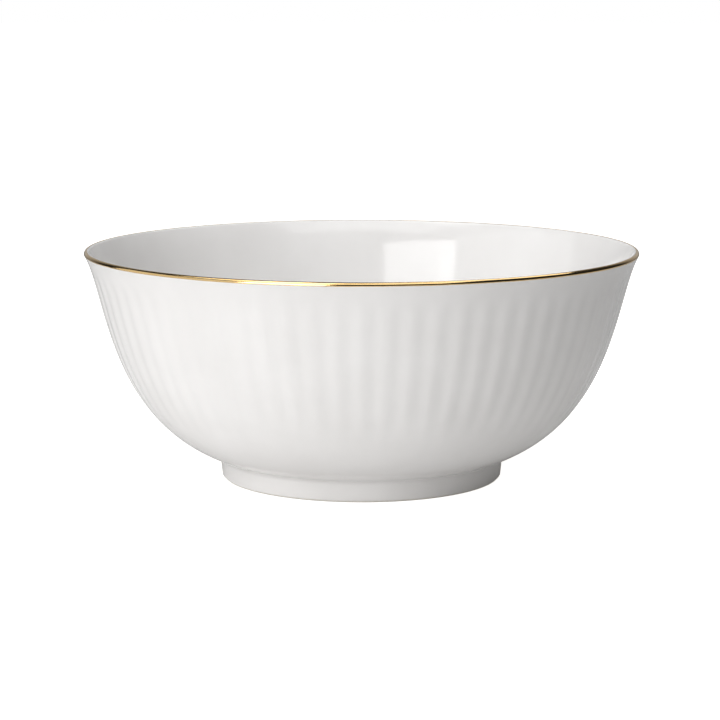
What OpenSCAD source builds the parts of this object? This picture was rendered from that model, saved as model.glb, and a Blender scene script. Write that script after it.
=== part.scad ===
// Porcelain serving bowl: a round, open vessel with curved walls on a low foot ring.
// The porcelain is two pieces luted together. A coat of clear glaze covers the outside,
// another the well and a third the recess inside the foot, and the foot's standing edge
// is left bare. A line of fired gold runs round the lip.
// Millimetres. The origin is the centre of the standing edge, and +Z points up.

/* [Bowl] */
// Diameter over the gold line on the lip
rim_d = 240; // [200:1:280]
// Height from the standing edge to the top of the lip
bowl_h = 100; // [85:1:120]
// Rise of the wall above level where it leaves the foot, in degrees
wall_start_angle = 20.5; // [16:0.5:24]
// Rise of the wall above level where it reaches the lip, in degrees
wall_end_angle = 62; // [54:1:74]
// Length of the wall curve's lower handle, as a part of the wall's span
lower_fullness = 0.48; // [0.4:0.01:0.52]
// Length of the wall curve's upper handle, as a part of the wall's span
upper_fullness = 0.18; // [0.1:0.01:0.25]

/* [Walls] */
// Thickness of the wall at the lip, glaze included
lip_t = 2.4; // [2:0.1:3.5]
// Thickness of the wall at the foot, glaze included
wall_foot_t = 5; // [4:0.1:6.5]
// Thickness of the floor at its centre, glaze included
floor_t = 4.8; // [4:0.1:6]
// Thickness of each coat of glaze
glaze_t = 0.3; // [0.15:0.05:0.5]

/* [Foot] */
// Diameter of the foot where the wall meets it
foot_d = 124; // [110:0.2:140]
// Height of the foot where the wall meets it
foot_h = 9.2; // [8.8:0.1:13]
// Lean of the foot's outer side towards the centre, in degrees
foot_outer_lean = 6; // [0:1:10]
// Lean of the foot's inner side away from the centre, in degrees
foot_inner_lean = 6; // [0:1:10]
// Width of the foot ring at its top
foot_w = 8; // [7.5:0.1:10]
// Radius of the hollow where the wall meets the foot
cove_r = 2.5; // [1:0.1:3.5]
// Radius of the edges of the standing face
arris_r = 1.2; // [0.5:0.1:1.4]
// Height of the recess inside the foot, at its centre
recess_h = 5.6; // [5:0.1:6.5]
// Rise of the recess's ceiling from its centre to the foot ring
recess_rise = 1.2; // [0.5:0.1:2]

/* [Gold] */
// Where the gold starts on the lip's round outer side, in degrees above level from its centre
gold_low_angle = -10; // [-14:1:20]
// Thickness of the gold line
gold_t = 0.1; // [0.05:0.05:0.2]

/* [Hidden] */
$fn = 180;
wall_steps = 40;
floor_steps = 14;
gold_steps = 7;
bare_lip_steps = 3;
lip_steps = 8;
corner_steps = 6;

// Directions in the profile's plane, where x is the distance from the axis and y the height
wall_start = [cos(wall_start_angle), sin(wall_start_angle)];
wall_end = [cos(wall_end_angle), sin(wall_end_angle)];
outer_side = [-sin(foot_outer_lean), -cos(foot_outer_lean)];
inner_side = [sin(foot_inner_lean), -cos(foot_inner_lean)];

// The lip is a half round about this centre
lip_r = lip_t / 2;
lip_centre = [rim_d / 2 - gold_t - lip_r, bowl_h - gold_t - lip_r];

// The wall's outer face: from the foot, past the cove, as one cubic curve to the lip
crease = [foot_d / 2, foot_h];
cove_reach = tangent_reach(outer_side, wall_start, cove_r);
wall_low = crease + cove_reach * wall_start;
wall_top = lip_centre + lip_r * right_of(wall_end);
wall_span = norm(wall_top - wall_low);
wall_curve = [wall_low, wall_low + lower_fullness * wall_span * wall_start,
              wall_top - upper_fullness * wall_span * wall_end, wall_top];

// The floor of the well leaves the centre level and rises into the wall's inner face
well_centre = [0, recess_h + floor_t];
well_edge = wall_low - wall_foot_t * right_of(wall_start);
well_curve = rising_curve(well_centre, well_edge, wall_start);

// The ceiling of the recess leaves the centre level and rises to the foot ring's inner side
ceiling_end_angle = 6;
ceiling_end = [cos(ceiling_end_angle), sin(ceiling_end_angle)];
ceiling_centre = [0, recess_h];
ceiling_edge = [crease[0] - foot_w, recess_h + recess_rise];
ceiling_curve = rising_curve(ceiling_centre, ceiling_edge, ceiling_end);

// The body and the ring meet between these corners, which the glaze covers
joint_out = mitre(crease, -right_of(wall_start), right_of(outer_side), glaze_t);
joint_in = mitre(ceiling_edge, -right_of(ceiling_end), -right_of(inner_side), glaze_t);

// Corners of the bare foot at the table, and where its edge rounds start
toe_out = joint_out + joint_out[1] / -outer_side[1] * outer_side;
toe_in = joint_in + joint_in[1] / -inner_side[1] * inner_side;
bare_out = toe_out - tangent_reach([-1, 0], -outer_side, arris_r) * outer_side;
bare_in = toe_in - tangent_reach([1, 0], -inner_side, arris_r) * inner_side;

// Directions from the lip's centre to the ends and the crest of its round edge
lip_outer = wall_end_angle - 90;
lip_crest = 90;
lip_inner = wall_end_angle + 90;

// The gold ends one step past the lip's crest
gold_high_angle = lip_crest + (lip_inner - lip_crest) / lip_steps;

// The direction to the right of d
function right_of(d) = [d[1], -d[0]];
function unit(v) = v / norm(v);

// The corner p, moved by d from both of the lines that meet there, whose normals are m and n
function mitre(p, m, n, d) = p + d / (1 + m * n) * (m + n);

// Distance from a corner to where an arc of radius r touches its sides, which leave along a and b
function tangent_reach(a, b, r) = r / tan(acos(a * b) / 2);

// Arc of radius r that rounds the corner p, from the side along a to the side along b
function rounded(p, a, b, r) =
    let(reach = tangent_reach(a, b, r),
        centre = p + norm([reach, r]) * unit(a + b),
        from = p + reach * a - centre,
        to = p + reach * b - centre)
    [for (i = [0:corner_steps]) centre + r * unit(from + i / corner_steps * (to - from))];

// Cubic curve that leaves p level and arrives at q along d without dipping below p
function rising_curve(p, q, d) = [p, (p + [q[0], p[1]]) / 2, q - (q[1] - p[1]) / d[1] * d, q];

// Point and direction at t on the cubic curve c
function curve_at(c, t) =
    (1 - t)^3 * c[0] + 3 * (1 - t)^2 * t * c[1] + 3 * (1 - t) * t^2 * c[2] + t^3 * c[3];
function curve_dir(c, t) =
    unit((1 - t)^2 * (c[1] - c[0]) + 2 * (1 - t) * t * (c[2] - c[1]) + t^2 * (c[3] - c[2]));

// Point at t on the curve c, moved d to its right
function beside(c, t, d) = curve_at(c, t) + d * right_of(curve_dir(c, t));

// Faces of the wall, floor, ceiling and lip, sunk by d below the glazed surface
function wall_t(t) = lip_t + (wall_foot_t - lip_t) * (1 - t);
function wall_outside(d) = [for (i = [0:wall_steps]) beside(wall_curve, i / wall_steps, -d)];
function wall_inside(d) =
    [for (i = [0:wall_steps]) beside(wall_curve, i / wall_steps, d - wall_t(i / wall_steps))];
function well_floor(d) = [for (i = [0:floor_steps]) beside(well_curve, i / floor_steps, d)];
function ceiling(d) = [for (i = [0:floor_steps]) beside(ceiling_curve, i / floor_steps, -d)];
function lip_point(d, a) = lip_centre + (lip_r - d) * [cos(a), sin(a)];
function lip_part(d, from, to, steps) = [for (i = [0:steps]) lip_point(d, from + (to - from) * i / steps)];
function lip_below_gold(d) = lip_part(d, lip_outer, gold_low_angle, bare_lip_steps);
function lip_under_gold(d) = lip_part(d, gold_low_angle, lip_crest, gold_steps);
function lip_inside(d) = lip_part(d, lip_crest, lip_inner, lip_steps);

function reversed(points) = [for (i = [len(points) - 1:-1:0]) points[i]];

// Points without those that repeat the one before
same_point = 0.001;
function distinct(points) =
    [for (i = [0:len(points) - 1])
        if (i == 0 || norm(points[i] - points[max(i - 1, 0)]) > same_point) points[i]];

module turned(points) {
    rotate_extrude() polygon(distinct(points));
}

// The thrown vessel: wall, lip and floor
module bowl_body() {
    color([0.93, 0.92, 0.90])
        turned(concat([joint_in, joint_out],
                      wall_outside(glaze_t),
                      lip_below_gold(glaze_t),
                      lip_under_gold(glaze_t),
                      lip_inside(glaze_t),
                      reversed(wall_inside(glaze_t)),
                      reversed(well_floor(glaze_t)),
                      ceiling(glaze_t)));
}

// The ring luted under the vessel, with its bare standing edge
module foot_ring() {
    color([0.90, 0.88, 0.84])
        turned(concat([joint_out],
                      rounded(toe_out, -outer_side, [-1, 0], arris_r),
                      reversed(rounded(toe_in, -inner_side, [1, 0], arris_r)),
                      [joint_in]));
}

// Glaze from the foot's outer side to the crest of the lip, pooled in the crease
module glaze_outside() {
    color([0.97, 0.965, 0.955])
        turned(concat([bare_out, bare_out - glaze_t * right_of(outer_side)],
                      rounded(crease, outer_side, wall_start, cove_r),
                      wall_outside(0),
                      lip_below_gold(0),
                      lip_under_gold(0),
                      reversed(lip_under_gold(glaze_t)),
                      reversed(lip_below_gold(glaze_t)),
                      reversed(wall_outside(glaze_t)),
                      [joint_out]));
}

// Glaze from the crest of the lip over the whole well
module glaze_inside() {
    color([0.98, 0.975, 0.965])
        turned(concat(lip_inside(0),
                      reversed(wall_inside(0)),
                      reversed(well_floor(0)),
                      well_floor(glaze_t),
                      wall_inside(glaze_t),
                      reversed(lip_inside(glaze_t))));
}

// Glaze on the ceiling of the recess and the foot's inner side
module glaze_base() {
    color([0.95, 0.945, 0.93])
        turned(concat(ceiling(0),
                      [bare_in + glaze_t * right_of(inner_side), bare_in, joint_in],
                      reversed(ceiling(glaze_t))));
}

// Gold fired over the glaze on the lip's outer edge and crest
module gold_band() {
    color([0.80, 0.64, 0.36])
        turned(concat(lip_under_gold(-gold_t),
                      [lip_point(-gold_t, gold_high_angle), lip_point(0, gold_high_angle)],
                      reversed(lip_under_gold(0))));
}

bowl_body();
foot_ring();
glaze_outside();
glaze_inside();
glaze_base();
gold_band();
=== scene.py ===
"""Looks of the porcelain serving bowl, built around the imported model.

The bowl is turned about Z, so every piece is an outline swept round the axis. Outlines are worked out in
millimetres as (distance from the axis, height) and the sweep turns them into metres.
"""

import math

import bmesh
import bpy
import numpy as np
from mathutils import Matrix, Vector

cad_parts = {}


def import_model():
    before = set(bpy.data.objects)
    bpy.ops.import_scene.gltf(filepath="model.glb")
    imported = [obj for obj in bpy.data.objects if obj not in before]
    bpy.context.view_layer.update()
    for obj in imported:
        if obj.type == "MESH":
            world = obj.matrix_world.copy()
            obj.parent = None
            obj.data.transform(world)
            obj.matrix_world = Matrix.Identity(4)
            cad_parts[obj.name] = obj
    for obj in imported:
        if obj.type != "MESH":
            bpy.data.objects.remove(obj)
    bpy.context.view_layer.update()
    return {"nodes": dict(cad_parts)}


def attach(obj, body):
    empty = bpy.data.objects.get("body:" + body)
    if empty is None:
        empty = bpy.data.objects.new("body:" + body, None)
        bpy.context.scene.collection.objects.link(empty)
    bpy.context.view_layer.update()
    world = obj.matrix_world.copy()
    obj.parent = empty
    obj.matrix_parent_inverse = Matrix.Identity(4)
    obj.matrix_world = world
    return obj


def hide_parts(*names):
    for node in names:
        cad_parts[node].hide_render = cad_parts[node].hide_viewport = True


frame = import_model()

MM = 0.001

# ---------------------------------------------------------------- the bowl's sizes, in millimetres and degrees
RIM_D = 240.0
BOWL_H = 100.0
WALL_START_ANGLE = 20.5
WALL_END_ANGLE = 62.0
LOWER_FULLNESS = 0.48
UPPER_FULLNESS = 0.18
LIP_T = 2.4
WALL_FOOT_T = 5.0
FLOOR_T = 4.8
GLAZE_T = 0.3
FOOT_D = 124.0
FOOT_H = 9.2
FOOT_OUTER_LEAN = 6.0
FOOT_INNER_LEAN = 6.0
FOOT_W = 8.0
COVE_R = 2.5
ARRIS_R = 1.2
RECESS_H = 5.6
RECESS_RISE = 1.2
GOLD_LOW_ANGLE = -10.0
GOLD_T = 0.1
CEILING_END_ANGLE = 6.0
LIP_STEPS = 8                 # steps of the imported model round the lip, from its crest inwards

# ---------------------------------------------------------------- the flutes on the outer wall
# Lengths down the wall are in millimetres and count from just above the end of the lip's round edge.
FLUTES = 72
FLUTE_DEPTH = 0.25
FLUTE_SPAN = (6.0, 14.0, 50.0, 80.0)   # where they start, are full, start to fade and end
LIP_END = 1.0                 # where the lip's round edge ends
NECK_RINGS = (1.6, 2.6)       # rings between the lip and the close ones over the flutes
CLOSE_RINGS = (4.0, 82.0)     # where the close rings over the flutes start and end
CLOSE_STEP = 1.5
PLAIN_STEP = 2.0
COVE_LENGTH = 10.0            # the last stretch, over the cove and the foot's side
SLOPE_STEP = 0.1              # half the length over which the wall's slope is taken
SAMPLES_PER_FLUTE = 16
OUTER_COLUMNS = FLUTES * SAMPLES_PER_FLUTE

# ---------------------------------------------------------------- the other pieces
WELL_COLUMNS = 384
FOOT_COLUMNS = 256
GOLD_COLUMNS = 512
SHARP_ANGLE = 40              # edges that turn more than this, in degrees, are not shaded smooth
WELL_WAVE = 0.02              # height of the waves in the well's glaze
WELL_WAVE_SPAN = (6, 30, 130, 150)     # down the well, where they start, are full, start to fade and end
WELL_WAVE_DRIFT = 9           # millimetres down the well in which their phase moves on by a radian
GOLD_LOW_WAVER = 3.0          # degrees by which the gold's edges waver
GOLD_HIGH_WAVER = 2.0
GOLD_RINGS = 12               # evenly spaced rings over the middle of the gold's face


def vec(x, y):
    return np.array([x, y], float)


def heading(degrees):
    a = math.radians(degrees)
    return vec(math.cos(a), math.sin(a))


def right_of(d):
    """The direction to the right of d, for one direction or a column of them."""
    d = np.asarray(d, float)
    return np.stack([d[..., 1], -d[..., 0]], -1)


def unit(v):
    v = np.asarray(v, float)
    return v / np.linalg.norm(v, axis=-1, keepdims=True)


def mitre(p, m, n, d):
    """The corner p, moved by d from both of the lines that meet there, whose normals are m and n."""
    return p + d / (1 + m @ n) * (m + n)


def tangent_reach(a, b, r):
    """Distance from a corner to where an arc of radius r touches its sides, which leave along a and b."""
    return r / math.tan(math.acos(a @ b) / 2)


def rounded(p, a, b, r, steps=8):
    """Arc of radius r that rounds the corner p, from the side along a to the side along b."""
    reach = tangent_reach(a, b, r)
    centre = p + math.hypot(reach, r) * unit(a + b)
    start = p + reach * a - centre
    end = p + reach * b - centre
    part = np.linspace(0, 1, steps + 1)[:, None]
    return centre + r * unit(start + part * (end - start))


def curve_at(c, t):
    """Points at t on the cubic curve c."""
    t = np.asarray(t, float)[:, None]
    s = 1 - t
    return s ** 3 * c[0] + 3 * s ** 2 * t * c[1] + 3 * s * t ** 2 * c[2] + t ** 3 * c[3]


def curve_dir(c, t):
    """Directions at t along the cubic curve c."""
    t = np.asarray(t, float)[:, None]
    s = 1 - t
    return unit(s ** 2 * (c[1] - c[0]) + 2 * s * t * (c[2] - c[1]) + t ** 2 * (c[3] - c[2]))


def beside(c, t, d):
    """Points at t on the curve c, moved d to its right."""
    d = np.broadcast_to(np.asarray(d, float), np.shape(t))[:, None]
    return curve_at(c, t) + d * right_of(curve_dir(c, t))


def rising_curve(p, q, d):
    """Cubic curve that leaves p level and arrives at q along d."""
    return [p, (p + vec(q[0], p[1])) / 2, q - (q[1] - p[1]) / d[1] * d, q]


def smooth(x, low, high):
    """0 below low and 1 above high, easing from one to the other between them."""
    t = np.clip((x - low) / (high - low), 0, 1)
    return t * t * (3 - 2 * t)


def fade(x, span):
    """0 outside span and 1 over its middle; span is where it starts, is full, starts to fade and ends."""
    rise, full, fall, none = span
    return smooth(x, rise, full) * (1 - smooth(x, fall, none))


def chain(*runs):
    """One outline from several runs of points, without points that repeat the one before."""
    same_point = 1e-4
    points = np.vstack(runs)
    step = np.linalg.norm(np.diff(points, axis=0), axis=1)
    return points[np.concatenate([[True], step > same_point])]


def lengths(points):
    """Length along an outline from its first point to each of its points."""
    return np.concatenate([[0], np.cumsum(np.linalg.norm(np.diff(points, axis=0), axis=1))])


def angles(columns):
    """Angles round the axis of a ring's vertices."""
    return np.arange(columns) * 2 * math.pi / columns


# ---------------------------------------------------------------- the bowl's outline
WALL_START = heading(WALL_START_ANGLE)
WALL_END = heading(WALL_END_ANGLE)
OUTER_SIDE = heading(270 - FOOT_OUTER_LEAN)
INNER_SIDE = heading(270 + FOOT_INNER_LEAN)
LIP_R = LIP_T / 2
LIP_CENTRE = vec(RIM_D / 2 - GOLD_T - LIP_R, BOWL_H - GOLD_T - LIP_R)
CREASE = vec(FOOT_D / 2, FOOT_H)
WALL_LOW = CREASE + tangent_reach(OUTER_SIDE, WALL_START, COVE_R) * WALL_START
WALL_TOP = LIP_CENTRE + LIP_R * right_of(WALL_END)
WALL_SPAN = np.linalg.norm(WALL_TOP - WALL_LOW)
WALL = [WALL_LOW, WALL_LOW + LOWER_FULLNESS * WALL_SPAN * WALL_START,
        WALL_TOP - UPPER_FULLNESS * WALL_SPAN * WALL_END, WALL_TOP]
WELL_EDGE = WALL_LOW - WALL_FOOT_T * right_of(WALL_START)
WELL = rising_curve(vec(0, RECESS_H + FLOOR_T), WELL_EDGE, WALL_START)
CEILING_END = heading(CEILING_END_ANGLE)
CEILING_EDGE = vec(CREASE[0] - FOOT_W, RECESS_H + RECESS_RISE)
CEILING = rising_curve(vec(0, RECESS_H), CEILING_EDGE, CEILING_END)
JOINT_OUT = mitre(CREASE, -right_of(WALL_START), right_of(OUTER_SIDE), GLAZE_T)
JOINT_IN = mitre(CEILING_EDGE, -right_of(CEILING_END), -right_of(INNER_SIDE), GLAZE_T)
TOE_OUT = JOINT_OUT + JOINT_OUT[1] / -OUTER_SIDE[1] * OUTER_SIDE
TOE_IN = JOINT_IN + JOINT_IN[1] / -INNER_SIDE[1] * INNER_SIDE
BARE_OUT = TOE_OUT - tangent_reach(vec(-1, 0), -OUTER_SIDE, ARRIS_R) * OUTER_SIDE
BARE_IN = TOE_IN - tangent_reach(vec(1, 0), -INNER_SIDE, ARRIS_R) * INNER_SIDE
LIP_OUTER = WALL_END_ANGLE - 90
LIP_CREST = 90.0
LIP_INNER = WALL_END_ANGLE + 90
GOLD_HIGH_ANGLE = LIP_CREST + (LIP_INNER - LIP_CREST) / LIP_STEPS


def lip(d, start, end, steps=12):
    """Part of the lip's round edge, between two directions from its centre, sunk by d."""
    a = np.radians(np.linspace(start, end, steps + 1))
    return LIP_CENTRE + (LIP_R - d) * np.stack([np.cos(a), np.sin(a)], -1)


def wall_outside(d, t):
    """The wall's outer face at t, from 0 at the foot to 1 at the lip, sunk by d."""
    return beside(WALL, t, -d)


def wall_inside(d, t):
    """The wall's inner face at t, sunk by d."""
    return beside(WALL, t, d - (LIP_T + (WALL_FOOT_T - LIP_T) * (1 - t)))


# ---------------------------------------------------------------- meshes
def ring(point_r, point_z, columns):
    """One ring of vertices round the axis, in metres, from distances and heights in millimetres."""
    angle = angles(columns)
    r = point_r + np.zeros(columns)
    z = point_z + np.zeros(columns)
    return np.stack([r * np.cos(angle), r * np.sin(angle), z], -1) * MM


def rings(outline, columns, lift=None):
    """The rings of an outline; lift, if given, moves each ring's vertices by their own (r, z)."""
    if lift is None:
        return [ring(r, z, columns) for r, z in outline]
    return [ring(r + move[:, 0], z + move[:, 1], columns) for (r, z), move in zip(outline, lift)]


def band(first, n, second, m):
    """Faces between two rings of n and m vertices, which are as many or twice as many."""
    k = np.arange(min(n, m))
    after = (k + 1) % len(k)
    if n == m:
        corners = [first + k, first + after, second + after, second + k]
    elif n > m:
        corners = [first + 2 * k, first + 2 * k + 1, first + 2 * after, second + after, second + k]
    else:
        corners = [first + k, first + after, second + 2 * after, second + 2 * k + 1, second + 2 * k]
    return np.stack(corners, -1).tolist()


def swept(name, loops, closed, replaces):
    """A smooth mesh through rings of vertices.

    closed joins the last ring to the first; otherwise each end closes on a point on the axis.
    """
    counts = [len(loop) for loop in loops]
    starts = np.concatenate([[0], np.cumsum(counts)]).tolist()
    vertices = np.vstack(loops)
    pairs = list(zip(range(len(loops)), range(1, len(loops))))
    if closed:
        pairs.append((len(loops) - 1, 0))
    faces = []
    for i, j in pairs:
        faces += band(starts[i], counts[i], starts[j], counts[j])
    if not closed:
        poles = [loop.mean(0) for loop in (loops[0], loops[-1])]
        vertices = np.vstack([vertices, *poles])
        ends = [(starts[-1], starts[0], counts[0]), (starts[-1] + 1, starts[-2], counts[-1])]
        for pole, start, count in ends:
            faces += [[pole, start + k, start + (k + 1) % count] for k in range(count)]
    mesh = bpy.data.meshes.new(name)
    mesh.from_pydata(vertices.tolist(), [], faces)
    shape = bmesh.new()
    shape.from_mesh(mesh)
    bmesh.ops.recalc_face_normals(shape, faces=shape.faces)
    shape.to_mesh(mesh)
    shape.free()
    mesh.shade_smooth()
    mesh.set_sharp_from_angle(angle=math.radians(SHARP_ANGLE))
    piece = bpy.data.objects.new(name, mesh)
    bpy.context.scene.collection.objects.link(piece)
    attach(piece, "root")
    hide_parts(replaces)
    return piece


def ripple(angle, turns, phase):
    """A slow wave round the bowl, from -1 to 1, that closes on itself."""
    waves = [strength * np.sin(turn * angle + part * phase)
             for part, (strength, turn) in enumerate(zip((1.0, 0.6, 0.4), turns), 1)]
    return sum(waves) / 2


# ---------------------------------------------------------------- the flutes
def flutes(down, angle):
    """Height of the fluted wall over the plain one, at lengths down it and angles round it."""
    hollow = (1 - np.cos(FLUTES * angle)) / 2
    return -FLUTE_DEPTH * fade(down, FLUTE_SPAN)[:, None] * hollow[None, :]


# ---------------------------------------------------------------- pieces
def glaze_outside():
    """The outer coat, with the flutes modelled in its surface."""
    foot_side = np.linspace(CREASE + tangent_reach(OUTER_SIDE, WALL_START, COVE_R) * OUTER_SIDE,
                            BARE_OUT - GLAZE_T * right_of(OUTER_SIDE), 12)
    dense = chain(lip(0, LIP_CREST, LIP_OUTER, 40), wall_outside(0, np.linspace(1, 0, 1601)),
                  rounded(CREASE, OUTER_SIDE, WALL_START, COVE_R, 24)[::-1], foot_side)
    lip_length = LIP_R * math.radians(LIP_CREST - LIP_OUTER)
    down = lengths(dense) - lip_length + LIP_END
    cove = down[-1] - COVE_LENGTH
    half, quarter = OUTER_COLUMNS // 2, OUTER_COLUMNS // 4
    zones = [(np.linspace(down[0], LIP_END, 8), quarter),
             (np.array(NECK_RINGS), half),
             (np.arange(*CLOSE_RINGS, CLOSE_STEP), OUTER_COLUMNS),
             (np.arange(CLOSE_RINGS[1], cove, PLAIN_STEP), half),
             (np.linspace(cove, down[-1], 30), half)]
    loops = []
    for at, columns in zones:
        face, before, after = (np.stack([np.interp(at + d, down, dense[:, k]) for k in (0, 1)], -1)
                               for d in (0, -SLOPE_STEP, SLOPE_STEP))
        outward = -right_of(unit(after - before))
        loops += rings(face, columns, flutes(at, angles(columns))[..., None] * outward[:, None, :])
    back = chain(BARE_OUT[None], JOINT_OUT[None], wall_outside(GLAZE_T, np.linspace(0, 1, 10)),
                 lip(GLAZE_T, LIP_OUTER, LIP_CREST, 3))
    return swept("glaze_outside_coat", loops + rings(back, quarter), True, "glaze_outside")


def glaze_inside():
    """The coat in the well. Its face keeps the faint waves that glaze dries with."""
    t = np.linspace(1, 0, 60)
    u = np.linspace(1, 0, 26)
    face = chain(lip(0, LIP_CREST, LIP_INNER), wall_inside(0, t), beside(WELL, u, 0.0))[:-1]
    back = chain(beside(WELL, u[::-2], GLAZE_T), wall_inside(GLAZE_T, t[::-4]),
                 lip(GLAZE_T, LIP_INNER, LIP_CREST, 4))[1:]
    down = lengths(face)[:, None]
    wave = WELL_WAVE * ripple(angles(WELL_COLUMNS), (3, 7, 12), down / WELL_WAVE_DRIFT)
    wave *= fade(down, WELL_WAVE_SPAN)
    across = -right_of(unit(np.gradient(face, axis=0)))
    loops = rings(back, WELL_COLUMNS) + rings(face, WELL_COLUMNS, wave[..., None] * across[:, None, :])
    return swept("glaze_inside_coat", loops, False, "glaze_inside")


def glaze_base():
    """The coat under the floor, inside the foot."""
    u = np.linspace(0, 1, 24)
    side = np.linspace(CEILING_EDGE, BARE_IN + GLAZE_T * right_of(INNER_SIDE), 8)
    outline = chain(beside(CEILING, u, 0.0)[1:], side, BARE_IN[None], JOINT_IN[None],
                    beside(CEILING, u[::-1], -GLAZE_T)[:-1])
    return swept("glaze_base_coat", rings(outline, FOOT_COLUMNS), False, "glaze_base")


def foot_ring():
    """The bare ring that the bowl stands on."""
    outline = chain(JOINT_OUT[None], rounded(TOE_OUT, -OUTER_SIDE, vec(-1, 0), ARRIS_R),
                    rounded(TOE_IN, -INNER_SIDE, vec(1, 0), ARRIS_R)[::-1], JOINT_IN[None])
    return swept("foot_ring_bare", rings(outline, FOOT_COLUMNS), True, "foot_ring")


def gold_band():
    """The gold line. It is laid on by brush while the bowl turns, so its edges waver a little."""
    angle = angles(GOLD_COLUMNS)
    low = np.radians(GOLD_LOW_ANGLE + GOLD_LOW_WAVER * ripple(angle, (5, 17, 41), 1.0))
    high = np.radians(GOLD_HIGH_ANGLE + GOLD_HIGH_WAVER * ripple(angle, (7, 19, 37), 2.0))
    part = np.concatenate([[0.0, 0.04], np.linspace(0.12, 0.88, GOLD_RINGS), [0.96, 1.0]])
    proud = GOLD_T * np.concatenate([[0.55, 0.95], np.ones(GOLD_RINGS), [0.95, 0.55]])
    front = list(zip(part, proud))
    back = [(a, 0.0) for a in part[::-3]]
    loops = []
    for a, rise in front + back:
        direction = low + a * (high - low)
        r = LIP_CENTRE[0] + (LIP_R + rise) * np.cos(direction)
        z = LIP_CENTRE[1] + (LIP_R + rise) * np.sin(direction)
        loops.append(ring(r, z, GOLD_COLUMNS))
    return swept("gold_line", loops, True, "gold_band")


# ---------------------------------------------------------------- materials
def new_material(name):
    """A material made of nodes, its tree and its shader."""
    material = bpy.data.materials.new(name)
    material.use_nodes = True
    tree = material.node_tree
    shader = tree.nodes["Principled BSDF"]
    return material, tree, shader


def add(tree, kind, **settings):
    """A new node, with its inputs or properties set by name."""
    node = tree.nodes.new(kind)
    for name, value in settings.items():
        if name in node.inputs:
            node.inputs[name].default_value = value
        else:
            setattr(node, name, value)
    return node


def noise(tree, place, scale, detail):
    """Noise with scale cells to the metre."""
    node = add(tree, "ShaderNodeTexNoise", Scale=scale, Detail=detail)
    tree.links.new(place, node.inputs["Vector"])
    return node.outputs["Fac"]


def ramp(tree, factor, low, high):
    """A colour that runs from low to high."""
    node = add(tree, "ShaderNodeValToRGB")
    node.color_ramp.elements[0].color = (*low, 1)
    node.color_ramp.elements[1].color = (*high, 1)
    tree.links.new(factor, node.inputs["Fac"])
    return node


def spread(tree, factor, low, high, span=(0.0, 1.0)):
    """A value that runs over span, stretched to run from low to high."""
    node = add(tree, "ShaderNodeMapRange")
    node.inputs["From Min"].default_value, node.inputs["From Max"].default_value = span
    node.inputs["To Min"].default_value = low
    node.inputs["To Max"].default_value = high
    tree.links.new(factor, node.inputs["Value"])
    return node.outputs["Result"]


def bump(tree, shader, height, distance):
    """Waves in a surface, distance high in metres."""
    node = add(tree, "ShaderNodeBump", Strength=1.0, Distance=distance)
    tree.links.new(height, node.inputs["Height"])
    tree.links.new(node.outputs["Normal"], shader.inputs["Normal"])


def glaze(name, low, high, wave):
    """Clear glaze over white porcelain: a very slight mottling, and waves in its surface."""
    material, tree, shader = new_material(name)
    place = add(tree, "ShaderNodeTexCoord").outputs["Object"]
    mottle = ramp(tree, noise(tree, place, 28, 4.0), low, high)
    mottle.color_ramp.elements[0].position = 0.35
    mottle.color_ramp.elements[1].position = 0.65
    tree.links.new(mottle.outputs["Color"], shader.inputs["Base Color"])
    tree.links.new(spread(tree, noise(tree, place, 60, 3.0), 0.05, 0.11), shader.inputs["Roughness"])
    shader.inputs["IOR"].default_value = 1.5
    bump(tree, shader, noise(tree, place, 90, 1.0), wave)
    return material


def bare_porcelain(name):
    """Unglazed porcelain: dull, a little warmer, with a fine grain."""
    material, tree, shader = new_material(name)
    place = add(tree, "ShaderNodeTexCoord").outputs["Object"]
    grain = ramp(tree, noise(tree, place, 900, 6.0), (0.74, 0.71, 0.66), (0.84, 0.82, 0.78))
    tree.links.new(grain.outputs["Color"], shader.inputs["Base Color"])
    tree.links.new(spread(tree, noise(tree, place, 500, 3.0), 0.55, 0.75), shader.inputs["Roughness"])
    bump(tree, shader, noise(tree, place, 1600, 4.0), 0.00004)
    return material


def fired_gold(name):
    """Burnished gold with the fine streaks of the brush that laid it."""
    material, tree, shader = new_material(name)
    place = add(tree, "ShaderNodeTexCoord").outputs["Object"]
    tone = ramp(tree, noise(tree, place, 70, 3.0), (0.80, 0.53, 0.22), (0.95, 0.70, 0.36))
    tree.links.new(tone.outputs["Color"], shader.inputs["Base Color"])
    shader.inputs["Metallic"].default_value = 1.0
    tree.links.new(spread(tree, noise(tree, place, 260, 4.0), 0.05, 0.15), shader.inputs["Roughness"])
    bump(tree, shader, noise(tree, place, 700, 3.0), 0.00002)
    return material


# ---------------------------------------------------------------- stage, lights and camera
FLOOR_SHADE = 0.73
FLOOR_WARMTH = (1.0, 0.985, 0.955)
FLOOR_LIGHT = (0.11, 0.00)   # light that the floor sends to the bowl from near and from far
LIGHT_SPAN = (0.10, 0.35)    # distances from the bowl's centre over which it changes, in metres
FLOOR_GLOW = (0.96, 1.05)    # the same, as the floor is seen
GLOW_SPAN = (0.15, 0.90)
ROOM_LIGHT = 0.02
BACKDROP_LIGHT = 0.40        # the bright backdrop behind the bowl, as the bowl reflects it
BACKDROP_SPAN = (0.7, 0.95)  # how nearly straight back a ray runs as that light comes in, at most 1
LIGHT_AIM = Vector((0, 0, 0.06))
CAMERA_PLACE = Vector((-0.00065, -1.05, 0.21966))
CAMERA_TILT = 9.151          # degrees down from level
CAMERA_ROLL = 0.032
CAMERA_LENS = 121.46         # in millimetres, on a sensor 36 mm wide


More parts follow.
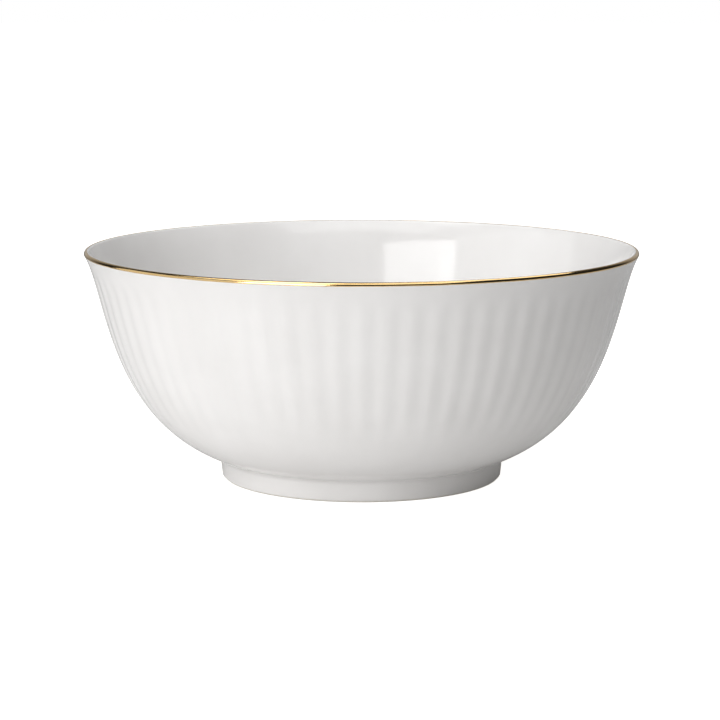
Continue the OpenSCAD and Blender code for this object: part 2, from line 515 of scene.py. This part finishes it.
def as_seen(tree, light, glow):
    """One strength for the light that reaches the bowl and another for what is seen directly."""
    node = add(tree, "ShaderNodeMix")
    tree.links.new(add(tree, "ShaderNodeLightPath").outputs["Is Camera Ray"], node.inputs["Factor"])
    tree.links.new(light, node.inputs["A"])
    if isinstance(glow, float):
        node.inputs["B"].default_value = glow
    else:
        tree.links.new(glow, node.inputs["B"])
    return node.outputs["Result"]


def floor():
    """A white studio floor that runs out of sight, and keeps a faint shadow where the bowl stands."""
    radius = 9.0
    mesh = bpy.data.meshes.new("floor")
    edge = [(radius * math.cos(a), radius * math.sin(a), 0.0) for a in np.radians(np.arange(0, 360, 5))]
    mesh.from_pydata(edge, [], [list(range(len(edge)))])
    piece = bpy.data.objects.new("floor", mesh)
    bpy.context.scene.collection.objects.link(piece)
    material, tree, shader = new_material("floor_white")
    shader.inputs["Base Color"].default_value = (FLOOR_SHADE, FLOOR_SHADE, FLOOR_SHADE, 1)
    shader.inputs["Roughness"].default_value = 0.9
    shader.inputs["Specular IOR Level"].default_value = 0.0
    shader.inputs["Emission Color"].default_value = (*FLOOR_WARMTH, 1)
    place = add(tree, "ShaderNodeTexCoord").outputs["Object"]
    distance = add(tree, "ShaderNodeVectorMath", operation="LENGTH")
    tree.links.new(place, distance.inputs[0])
    light = spread(tree, distance.outputs["Value"], *FLOOR_LIGHT, LIGHT_SPAN)
    glow = spread(tree, distance.outputs["Value"], *FLOOR_GLOW, GLOW_SPAN)
    tree.links.new(as_seen(tree, light, glow), shader.inputs["Emission Strength"])
    piece.data.materials.append(material)


def world():
    """White behind the bowl where the camera sees it, and soft even light on the bowl."""
    scene_world = bpy.data.worlds.new("studio")
    bpy.context.scene.world = scene_world
    scene_world.use_nodes = True
    tree = scene_world.node_tree
    back = tree.nodes["Background"]
    back.inputs["Color"].default_value = (1, 1, 1, 1)
    direction = add(tree, "ShaderNodeSeparateXYZ")
    tree.links.new(add(tree, "ShaderNodeTexCoord").outputs["Generated"], direction.inputs[0])
    light = spread(tree, direction.outputs["Y"], ROOM_LIGHT, BACKDROP_LIGHT, BACKDROP_SPAN)
    tree.links.new(as_seen(tree, light, 1.0), back.inputs["Strength"])


def softbox(name, azimuth, elevation, distance, width, height, radiance):
    """A rectangular light, in degrees and metres, that faces the bowl.

    Its azimuth counts from the camera's side of the bowl, and is negative to the left.
    """
    a, e = math.radians(azimuth), math.radians(elevation)
    direction = Vector((math.sin(a) * math.cos(e), -math.cos(a) * math.cos(e), math.sin(e)))
    place = direction * distance + LIGHT_AIM
    light = bpy.data.lights.new(name, "AREA")
    light.shape = "RECTANGLE"
    light.size = width
    light.size_y = height
    light.energy = radiance * math.pi * width * height
    piece = bpy.data.objects.new(name, light)
    bpy.context.scene.collection.objects.link(piece)
    piece.location = place
    piece.rotation_euler = (LIGHT_AIM - place).to_track_quat("-Z", "Y").to_euler()
    piece.visible_camera = False


def camera():
    """A long lens in front of the bowl that looks a little down at it."""
    data = bpy.data.cameras.new("camera")
    data.sensor_width = 36.0
    data.lens = CAMERA_LENS
    data.clip_end = 60.0
    piece = bpy.data.objects.new("camera", data)
    bpy.context.scene.collection.objects.link(piece)
    tilt = Matrix.Rotation(math.radians(90 - CAMERA_TILT), 4, "X")
    roll = Matrix.Rotation(math.radians(CAMERA_ROLL), 4, "Z")
    piece.matrix_world = Matrix.Translation(CAMERA_PLACE) @ (tilt @ roll)
    bpy.context.scene.camera = piece


# ---------------------------------------------------------------- build
camera()
floor()
world()
softbox("key", -30.6, 15.4, 1.3, 0.79, 0.86, 3.85)
softbox("left_low", -80, 18, 1.4, 2.0, 1.0, 0.72)
softbox("left_high", -80, 66, 1.4, 1.0, 0.8, 1.8)
softbox("front_top", 0, 66, 1.4, 1.6, 1.2, 1.5)
softbox("back_top", 135, 58, 1.4, 1.0, 0.8, 1.6)

coat_outside = glaze_outside()
coat_inside = glaze_inside()
coat_base = glaze_base()
foot = foot_ring()
gold = gold_band()
body = frame["nodes"]["bowl_body"]
body.data.materials.clear()

outer_glaze = glaze("outer_glaze", (0.86, 0.845, 0.832), (0.90, 0.886, 0.874), 0.00004)
well_glaze = glaze("well_glaze", (0.865, 0.853, 0.842), (0.90, 0.89, 0.88), 0.00002)
base_glaze = glaze("base_glaze", (0.85, 0.836, 0.82), (0.89, 0.876, 0.862), 0.00006)
coat_outside.data.materials.append(outer_glaze)
coat_inside.data.materials.append(well_glaze)
coat_base.data.materials.append(base_glaze)
foot.data.materials.append(bare_porcelain("porcelain_foot"))
gold.data.materials.append(fired_gold("lip_gold"))
body.data.materials.append(bare_porcelain("porcelain_body"))

settings = bpy.context.scene.view_settings
settings.view_transform = "Standard"
settings.look = "None"
